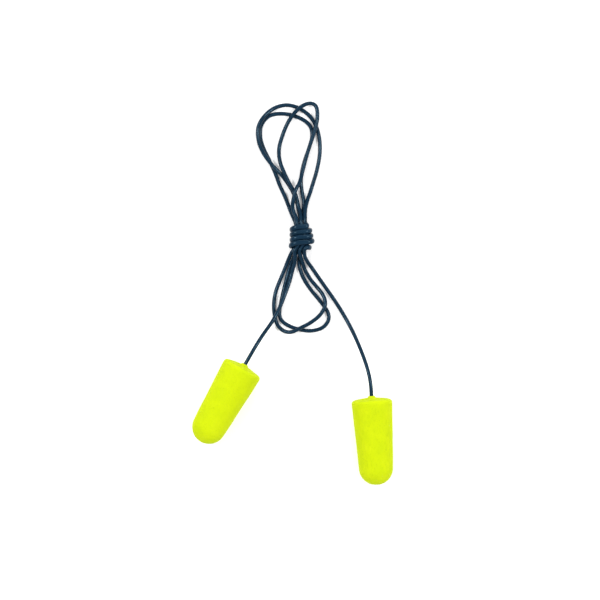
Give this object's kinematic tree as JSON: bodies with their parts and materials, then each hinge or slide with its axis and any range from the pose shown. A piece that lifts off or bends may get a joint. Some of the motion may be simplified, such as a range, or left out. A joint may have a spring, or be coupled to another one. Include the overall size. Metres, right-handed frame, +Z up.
{
  "type": "corded foam ear plugs",
  "caption": "Tapered soft foam ear plugs on a thin vinyl cord that is wound into a looped hank with a wrapped knot.",
  "frame": {"origin": "centre of the hank's footprint, on the table plane", "axes": "+Z up from the table; +Y from the plugs towards the upper loops; +X to the right of +Y, towards the plug on the longer tail"},
  "size_m": [0.0558, 0.1066, 0.0113],
  "materials": {
    "cord": "satin vinyl",
    "adhesive": "matte",
    "foam": "matte fine-pored foam skin"
  },
  "bodies": {
    "knot": {"core_strands": "cord", "wrap_turns": "cord"},
    "upper_bow": {"outer_loop": "cord", "inner_loop": "cord", "tall_loop_roots": "cord"},
    "tall_bow": {"tall_loop": "cord"},
    "lower_bow": {"lower_loop_over": "cord", "lower_loop_under": "cord", "left_tail_root": "cord", "right_tail_root": "cord"},
    "left_tail_1": {"left_tail_1": "cord"},
    "left_tail_2": {"left_tail_2": "cord"},
    "left_tail_3": {"left_tail_3": "cord"},
    "left_tail_4": {"left_tail_4": "cord"},
    "left_neck": {"left_neck": "cord"},
    "left_plug": {"left_cord_end": "cord", "left_adhesive": "adhesive", "left_foam_plug": "foam"},
    "right_tail_1": {"right_tail_1": "cord"},
    "right_tail_2": {"right_tail_2": "cord"},
    "right_tail_3": {"right_tail_3": "cord"},
    "right_tail_4": {"right_tail_4": "cord"},
    "right_neck": {"right_neck": "cord"},
    "right_plug": {"right_cord_end": "cord", "right_adhesive": "adhesive", "right_foam_plug": "foam"}
  },
  "joints": [
    {"name": "upper_bow_fold", "type": "hinge", "parent": "knot", "child": "upper_bow", "pos_m": [0.00246, 0.01984, 0.0036], "axis": [1, 0, 0], "range_deg": [0, 75]},
    {"name": "tall_loop_lift", "type": "hinge", "parent": "upper_bow", "child": "tall_bow", "pos_m": [0.00076, 0.02454, 0.00335], "axis": [1, 0, 0], "range_deg": [0, 35]},
    {"name": "lower_bow_fold", "type": "hinge", "parent": "knot", "child": "lower_bow", "pos_m": [0.00196, 0.01074, 0.00345], "axis": [-1, 0, 0], "range_deg": [0, 60]},
    {"name": "left_tail_lift", "type": "hinge", "parent": "lower_bow", "child": "left_tail_1", "pos_m": [-0.00014, 0.00604, 0.0013], "axis": [-0.9547, 0.2975, 0], "range_deg": [0, 25]},
    {"name": "left_tail_sweep", "type": "hinge", "parent": "left_tail_1", "child": "left_tail_2", "pos_m": [-0.00229, -0.00086, 0.00195], "axis": [0, 0, -1], "range_deg": [-10, 30]},
    {"name": "left_tail_lift_outer", "type": "hinge", "parent": "left_tail_2", "child": "left_tail_3", "pos_m": [-0.00504, -0.00696, 0.00275], "axis": [-0.8266, 0.5628, 0], "range_deg": [0, 25]},
    {"name": "left_tail_sweep_outer", "type": "hinge", "parent": "left_tail_3", "child": "left_tail_4", "pos_m": [-0.00824, -0.01166, 0.0045], "axis": [0, 0, -1], "range_deg": [-10, 30]},
    {"name": "left_plug_nod", "type": "hinge", "parent": "left_tail_4", "child": "left_neck", "pos_m": [-0.01175, -0.01739, 0.00589], "axis": [-0.8669, 0.4985, 0], "range_deg": [0, 60]},
    {"name": "left_plug_twist", "type": "hinge", "parent": "left_neck", "child": "left_plug", "pos_m": [-0.01314, -0.01981, 0.00575], "axis": [-0.4979, -0.8658, -0.0497], "range_deg": [-90, 90]},
    {"name": "right_tail_lift", "type": "hinge", "parent": "lower_bow", "child": "right_tail_1", "pos_m": [0.00576, 0.00634, 0.00055], "axis": [-0.8215, -0.5701, 0], "range_deg": [0, 25]},
    {"name": "right_tail_sweep", "type": "hinge", "parent": "right_tail_1", "child": "right_tail_2", "pos_m": [0.01211, -0.00281, 0.00055], "axis": [0, 0, 1], "range_deg": [-10, 30]},
    {"name": "right_tail_lift_outer", "type": "hinge", "parent": "right_tail_2", "child": "right_tail_3", "pos_m": [0.01591, -0.00926, 0.0016], "axis": [-0.9119, -0.4104, 0], "range_deg": [0, 25]},
    {"name": "right_tail_sweep_outer", "type": "hinge", "parent": "right_tail_3", "child": "right_tail_4", "pos_m": [0.01906, -0.01626, 0.0039], "axis": [0, 0, 1], "range_deg": [-10, 30]},
    {"name": "right_plug_nod", "type": "hinge", "parent": "right_tail_4", "child": "right_neck", "pos_m": [0.02164, -0.02577, 0.00589], "axis": [-0.9979, -0.0645, 0], "range_deg": [0, 60]},
    {"name": "right_plug_twist", "type": "hinge", "parent": "right_neck", "child": "right_plug", "pos_m": [0.02182, -0.02856, 0.00575], "axis": [0.0645, -0.9967, -0.0497], "range_deg": [-90, 90]}
  ]
}
